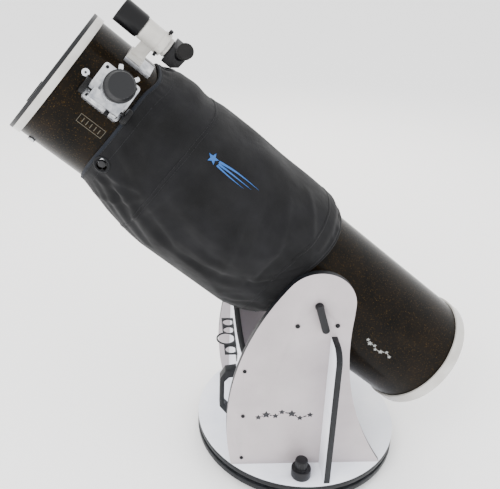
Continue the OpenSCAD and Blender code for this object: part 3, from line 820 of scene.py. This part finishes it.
def close_tree(tree, inputs, instances):
    """Ends a tree: real mesh, its material, and out."""
    real = add(tree, "GeometryNodeRealizeInstances", {"Geometry": instances}).outputs[0]
    painted = add(tree, "GeometryNodeSetMaterial", {"Geometry": real, "Material": inputs["Material"]}).outputs[0]
    add(tree, "NodeGroupOutput", {"Geometry": painted})


def along_curve_tree(name, sizes, kind, shape, turned):
    """A tree that spaces a small shape along a curve. shape maps the mesh node's inputs to sizes or numbers."""
    tree, inputs = new_tree(name, ("Spacing", *sizes))
    spaced = {"Curve": inputs["Geometry"], "Length": inputs["Spacing"]}
    points = add(tree, "GeometryNodeCurveToPoints", spaced, mode="LENGTH").outputs
    given = {socket: inputs[size] if isinstance(size, str) else size for socket, size in shape.items()}
    placed = {"Points": points["Points"], "Instance": add(tree, kind, given).outputs["Mesh"]}
    if turned:
        facing = {"Vector": points["Tangent"]}
        placed["Rotation"] = add(tree, "FunctionNodeAlignRotationToVector", facing, axis="Z").outputs[0]
    close_tree(tree, inputs, add(tree, "GeometryNodeInstanceOnPoints", placed).outputs["Instances"])
    return tree


def as_mesh(piece):
    """Swaps a piece for a plain mesh piece of the same name."""
    name, mesh = piece.name, plain_mesh(piece)
    bpy.data.objects.remove(piece)
    return new_object(name, mesh)


def use_tree(piece, tree, material, **numbers):
    """Runs a geometry tree on a piece with these inputs, and keeps the result as a plain mesh."""
    modifier = piece.modifiers.new("tree", "NODES")
    modifier.node_group = tree
    for name, value in numbers.items():
        modifier[socket_named(tree, name.replace("_", " "))] = value
    modifier[socket_named(tree, "Material")] = material
    return as_mesh(piece)


def path_curve(name, points, cyclic=True):
    """A curve through points, for a tree to follow."""
    curve = bpy.data.curves.new(name, "CURVE")
    curve.dimensions = "3D"
    line = curve.splines.new("POLY")
    line.points.add(len(points) - 1)
    for spot, point in zip(line.points, points):
        spot.co = (*point, 1)
    line.use_cyclic_u = cyclic
    return new_object(name, curve)


STITCHES = along_curve_tree("stitches", ("Stitch Length", "Thread Radius"), "GeometryNodeMeshCylinder",
                            {"Vertices": 6, "Radius": "Thread Radius", "Depth": "Stitch Length"}, turned=True)
ROWS = {"front_hem_stitches": (0.984, 1.9), "front_fold_stitches": (0.945, 0.7), "seam_stitches": (0.737, 1.2),
        "seam_stitches_low": (0.723, 1.2), "rear_hem_stitches": (0.018, 1.8)}
for name, (share, lift) in ROWS.items():
    row = use_tree(path_curve(name, cloth_path(share, lift)), STITCHES, THREAD,
                   Spacing=7.5 * MM, Stitch_Length=5 * MM, Thread_Radius=0.45 * MM)
    sewn(row)
print("stitch rows:", len(ROWS))

# %% [markdown]
# A small printed emblem sits high on the side of the cloth. It is a plain comet with three tails,
# drawn flat and then laid on the cloth point by point, along rays from the tube's axis.

# %% Laying a flat drawing on a round surface
def laid_on(name, outlines, material, surface, step=2.5 * MM, proud=0.5 * MM):
    """Lays flat outlines of (along, angle) metres on a surface that stands round the tube's axis."""
    drawing = bmesh.new()
    for outline in outlines:
        drawing.faces.new([drawing.verts.new((x, y, 0)) for x, y in outline])
    for axis in (0, 1):
        low = min(v.co[axis] for v in drawing.verts)
        high = max(v.co[axis] for v in drawing.verts)
        normal = Vector((1, 0, 0)) if axis == 0 else Vector((0, 1, 0))
        for k in range(1, int((high - low) / step)):
            cut = drawing.verts[:] + drawing.edges[:] + drawing.faces[:]
            bmesh.ops.bisect_plane(drawing, geom=cut, plane_co=normal * (low + k * step), plane_no=normal)
    bmesh.ops.triangulate(drawing, faces=drawing.faces)
    for vertex in drawing.verts:
        vertex.co = surface(vertex.co.x, vertex.co.y, proud)
    piece = new_piece(name, drawing, [material])
    skin = piece.modifiers.new("skin", "SOLIDIFY")
    skin.thickness, skin.offset = 0.35 * MM, 0
    settle(piece)
    piece.data.shade_smooth()
    return piece


def star(x, y, radius, points=5, inner=0.42, turn=90):
    """A star outline with straight arms."""
    spots = []
    for i in range(2 * points):
        reach = radius if i % 2 == 0 else radius * inner
        angle = math.radians(turn + 180 * i / points)
        spots.append((x + reach * math.cos(angle), y + reach * math.sin(angle)))
    return spots


TAIL_STEPS = 12


def sweep_tail(x0, y0, x1, y1, wide, bow=0.0):
    """A tail that tapers to a point, bowed to one side."""
    top, bottom = [], []
    for i in range(TAIL_STEPS + 1):
        t = i / TAIL_STEPS
        x, y = x0 + (x1 - x0) * t, y0 + (y1 - y0) * t + bow * math.sin(math.pi * t)
        half = wide * (1 - t) / 2 + 0.0002
        top.append((x, y + half))
        bottom.append((x, y - half))
    return top + bottom[::-1]


RAY_START = 300 * MM


def cast_on(target, middle_along, middle_angle, radius):
    """A surface for laid_on: a ray towards the tube's axis finds the target's outer face."""
    bpy.context.view_layer.update()

    def place(x, y, proud):
        angle = middle_angle + math.degrees(y / radius)
        away = outward(angle)
        start = on_tube(middle_along + x, angle, RAY_START)
        hit, spot, _normal, _face = target.ray_cast(start, -away, distance=RAY_START)
        spot = spot if hit else on_tube(middle_along + x, angle, radius)
        return spot + away * proud

    return place


COMET = [star(0.070, 0.001, 0.017, 5, 0.45, 90), sweep_tail(0.052, 0.004, -0.078, 0.010, 0.007, 0.004),
         sweep_tail(0.050, -0.002, -0.060, -0.002, 0.006), sweep_tail(0.052, -0.008, -0.040, -0.013, 0.005, -0.002)]
emblem = laid_on("comet_emblem", COMET, ink("emblem_blue", "#164F8E", 0.6),
                 cast_on(shroud, 0.412, 36, 0.222), proud=0.9 * MM)
sewn(emblem)

# %% [markdown]
# Grips are ribbed so that a cold hand can turn them. A second tree sets ribs round an axis. Each
# rib is a thin rod half sunk in the knob's rim, so only its round back stands out.

# %% A tree that sets ribs round an axis
def rib_tree():
    """A tree that sets rods in a ring."""
    tree, inputs = new_tree("ribs", ("Count", "Ring Radius", "Rib Radius", "Length"))
    ring = {"Vertices": inputs["Count"], "Radius": inputs["Ring Radius"]}
    points = add(tree, "GeometryNodeMeshCircle", ring).outputs["Mesh"]
    rod = {"Vertices": 10, "Radius": inputs["Rib Radius"], "Depth": inputs["Length"]}
    rib = add(tree, "GeometryNodeMeshCylinder", rod).outputs["Mesh"]
    placed = {"Points": points, "Instance": rib}
    close_tree(tree, inputs, add(tree, "GeometryNodeInstanceOnPoints", placed).outputs["Instances"])
    return tree


RIBS = rib_tree()


def ribs(name, node, place, axis, count, ring_mm, rib_mm, length_mm, slot=None, towards=None):
    """A crown of ribs round an axis, riding with the piece that it belongs to."""
    seed = new_object(name, bpy.data.meshes.new(name))
    crown = use_tree(seed, RIBS, FINISH[slot or slot_of[node]], Count=float(count), Ring_Radius=ring_mm * MM,
                     Rib_Radius=rib_mm * MM, Length=length_mm * MM)
    crown.data.transform(standing(place, axis, towards))
    edges = crown.modifiers.new("round", "BEVEL")
    edges.width, edges.segments, edges.limit_method = rib_mm * 0.35 * MM, 2, "ANGLE"
    settle(crown)
    crown.data.shade_smooth()
    crown.data.set_sharp_from_angle(angle=math.radians(40))
    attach(crown, body_of[node])
    return crown


KNOB_SPOT = Vector(joints["azimuth_brake_turn"]["pos_m"])
KNOB_SPOT.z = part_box("azimuth_knob")[1].z - 18 * MM
ribs("azimuth_knob_grip", "azimuth_knob", KNOB_SPOT, (0, 0, 1), 18, 17.4, 1.7, 30)
FOCUS_SPOT = Vector(joints["focus_turn"]["pos_m"])
for side, word in ((-1, "rear"), (1, "front")):
    ribs(f"focus_knob_grip_{word}", "focus_shaft", FOCUS_SPOT + ALONG * side * 61.5 * MM, ALONG, 30, 20.6, 1.1, 9.5)
for number, angle in enumerate(STRUT_ANGLES, 1):
    ribs(f"clamp_grip_{number}", f"clamp_knob_{number}", on_tube(160 * MM, angle, 192.5 * MM), outward(angle),
         16, 13.4, 1.4, 12)
for number in (1, 2, 3):
    spot = Vector(joints[f"collimation_turn_{number}"]["pos_m"])
    ribs(f"collimation_grip_{number}", f"collimation_knob_{number}", spot - ALONG * 6 * MM, ALONG, 26, 14.7, 0.9, 9)
for number in (1, 2):
    screw = joints[f"eyepiece_screw_turn_{number}"]
    head = Vector(screw["pos_m"])
    ribs(f"eyepiece_screw_grip_{number}", f"adapter_screw_{number}", head, screw["axis"], 18, 5.3, 0.45, 9)

# The same tree sets the four dark screws that hold the corners of the focuser's plate
FOCUSER_S, FOCUSER_ANGLE, PLATE_FACE, CORNER = 780 * MM, 30.5, 190 * MM, 43
plate_out = outward(FOCUSER_ANGLE)
ribs("focuser_corner_screws", "focuser_base", on_tube(FOCUSER_S, FOCUSER_ANGLE, PLATE_FACE + 0.7 * MM), plate_out,
     4, CORNER * math.sqrt(2), 4.4, 3.4, slot="black_screw", towards=ALONG + plate_out.cross(ALONG))

# %% [markdown]
# Where a strut's cap comes out through the cloth there are two rings: a chromed washer under the
# cap, and the pressed rim of the eyelet. The washer belongs to the tube and the rim to the cloth.

# %% Washers and eyelet rims
RING_STEPS = 48


def turned_rings(name, places, profile, material):
    """One piece of rings, each turned from a closed outline of (radius, height) in mm."""
    rings = bmesh.new()
    for place, axis in places:
        stand = standing(place, axis)
        turns = []
        for i in range(RING_STEPS):
            spin = Matrix.Rotation(2 * math.pi * i / RING_STEPS, 4, "Z")
            turns.append([rings.verts.new(stand @ (spin @ Vector((r * MM, 0, h * MM)))) for r, h in profile])
        for i, near in enumerate(turns):
            far = turns[(i + 1) % len(turns)]
            for k in range(len(profile)):
                j = (k + 1) % len(profile)
                rings.faces.new((near[k], far[k], far[j], near[j]))
    bmesh.ops.recalc_face_normals(rings, faces=rings.faces)
    piece = new_piece(name, rings, [material])
    piece.data.shade_smooth()
    piece.data.set_sharp_from_angle(angle=math.radians(50))
    return piece


RIM_R, RIM_WIRE, RIM_STEPS = 20.5 * MM, 2.6 * MM, 36
caps = [(on_tube(CAP_S, angle, TUBE_R), outward(angle)) for angle in STRUT_ANGLES]
washers = turned_rings("cap_washers", caps, ((10.6, 2.1), (13.6, 2.1), (14.4, 2.7), (13.6, 3.5), (10.6, 3.9)),
                       FINISH["chrome_screw"])
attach(washers, "upper_cage")
for number, angle in enumerate(STRUT_ANGLES, 1):
    surface = cast_on(shroud, CAP_S, angle, 0.184)
    turns = [2 * math.pi * i / RIM_STEPS for i in range(RIM_STEPS)]
    path = [surface(RIM_R * math.cos(turn), RIM_R * math.sin(turn), 0) for turn in turns]
    rim_line = path_curve(f"eyelet_rim_{number}", path)
    rim_line.data.bevel_depth, rim_line.data.bevel_resolution = RIM_WIRE, 3
    rim = as_mesh(rim_line)
    rim.data.materials.append(FINISH["black_screw"])
    rim.data.shade_smooth()
    sewn(rim)

# %% [markdown]
# Small things tell the eye how big the rest is: rivets along the tube's seam, a label outline,
# the printed marks on the board and the tube. The marks here are plain constellations.

# %% Printed marks
GREY_INK = ink("board_ink", "#17181C", 0.5)
SILVER_INK = ink("tube_ink", "#8C8D8A", 0.45)
LABEL_INK = ink("label_ink", "#4A4538", 0.5)
BOARD_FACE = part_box("side_board_near")[0].y
STARS = ((0.0, 0.0), (0.021, 0.009), (0.046, 0.004), (0.063, 0.017), (0.090, 0.011), (0.113, -0.004), (0.140, 0.006))


def link_between(a, b, wide=0.0016, gap=0.0065):
    """A thin bar from one star towards the next, with a gap at each end."""
    a, b = Vector((*a, 0)), Vector((*b, 0))
    way = (b - a).normalized()
    side = Vector((-way.y, way.x, 0)) * wide / 2
    a, b = a + way * gap, b - way * gap
    return [tuple((a - side).xy), tuple((b - side).xy), tuple((b + side).xy), tuple((a + side).xy)]


def constellation(scale):
    """Seven stars and the bars between them."""
    spots = [(x * scale, y * scale) for x, y in STARS]
    drawn = [star(x, y, (0.0125 if i in (1, 4) else 0.0092) * scale, inner=0.52) for i, (x, y) in enumerate(spots)]
    return drawn + [link_between(a, b, 0.0036 * scale, 0.0098 * scale) for a, b in zip(spots, spots[1:])]


def on_board(x, y, proud):
    """A point on the outer face of the near side board."""
    return Vector((-0.150 + x, BOARD_FACE - proud * 0.4, 0.252 + y))


mark = laid_on("board_emblem", constellation(1.08), GREY_INK, on_board, step=20 * MM, proud=0.2 * MM)
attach(mark, "rocker")


def on_side(middle, angle, way):
    """A surface for laid_on: the near side of a tube. way is -1 where the drawing is turned end for end."""
    return lambda x, y, proud: on_tube(
        middle + way * x, angle + math.degrees(way * y / TUBE_R), TUBE_R + proud * 0.4
    )


tube_stars = [[(x - 0.045, y) for x, y in outline] for outline in constellation(0.66)]
tube_mark = laid_on("tube_emblem", tube_stars, SILVER_INK, on_side(-0.262, -3, -1), step=4 * MM, proud=0.2 * MM)
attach(tube_mark, "lower_ota")


def bar(x0, y0, x1, y1):
    """A rectangle between two opposite corners."""
    return [(x0, y0), (x1, y0), (x1, y1), (x0, y1)]


def frame_outline(wide, tall, line):
    """The four bars of a rectangular outline."""
    w, h = wide / 2, tall / 2
    return [bar(-w, -h, w, -h + line), bar(-w, h - line, w, h), bar(-w, -h + line, -w + line, h - line),
            bar(w - line, -h + line, w, h - line)]


LABEL_S, STROKES, STROKE_GAP, STROKE_HALF, STROKE_TALL = 0.768, 5, 0.012, 0.0009, 0.0065
bars = frame_outline(0.074, 0.024, 0.0013)
for k in range(STROKES):
    at = -0.024 + STROKE_GAP * k
    bars.append(bar(at - STROKE_HALF, -STROKE_TALL, at + STROKE_HALF, STROKE_TALL))
label = laid_on("tube_label", bars, LABEL_INK, on_side(LABEL_S, 0, 1), step=4 * MM, proud=0.2 * MM)
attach(label, "upper_cage")

# %% Rivets along the tube's seam
RIVETS = along_curve_tree("rivets", ("Head Radius",), "GeometryNodeMeshUVSphere",
                          {"Segments": 12, "Rings": 8, "Radius": "Head Radius"}, turned=False)
SEAM_ANGLE = 196
for name, start, end, body, slot in (("lower_seam_rivets", -0.44, 0.11, "lower_ota", "zinc_steel"),
                                     ("upper_seam_rivets", 0.66, 0.87, "upper_cage", "zinc_steel")):
    line = path_curve(name, [on_tube(start, SEAM_ANGLE, TUBE_R), on_tube(end, SEAM_ANGLE, TUBE_R)], False)
    row = use_tree(line, RIVETS, FINISH["zinc_steel"], Spacing=50 * MM, Head_Radius=2.2 * MM)
    row.data.shade_smooth()
    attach(row, body)

# %% [markdown]
# The telescope stands on a plain pale floor under soft studio light: a large lamp above and in
# front, a weaker one from the side, and a bright background that the lacquer can reflect.

# %% Floor and light
bpy.ops.mesh.primitive_plane_add(size=30, location=(0, 0, 0))
floor = bpy.context.object
floor.name = "floor"
floor.data.materials.append(finish("studio_floor", "#FFFFFF", 0.9)[0])


def lamp(name, place, aim, size, power, colour="#FFFFFF"):
    """A square soft light that points at a spot."""
    data = bpy.data.lights.new(name, "AREA")
    data.size, data.energy, data.color = size, power, paint(colour)[:3]
    made = new_object(name, data)
    made.matrix_world = standing(Vector(place), Vector(place) - Vector(aim))
    made.visible_glossy = False


MIDDLE = (-0.15, 0, 0.75)
lamp("key", (-2.4, -2.6, 3.4), MIDDLE, 2.2, 165)
lamp("fill", (3.0, -2.2, 1.8), MIDDLE, 2.5, 60, "#F4F7FF")
lamp("rim", (0.6, 3.2, 2.6), MIDDLE, 1.6, 70, "#FFF4E6")
world = bpy.data.worlds.new("studio")
bpy.context.scene.world = world
world.use_nodes = True
world.node_tree.nodes["Background"].inputs["Color"].default_value = paint("#FFFFFF")
world.node_tree.nodes["Background"].inputs["Strength"].default_value = 2.1
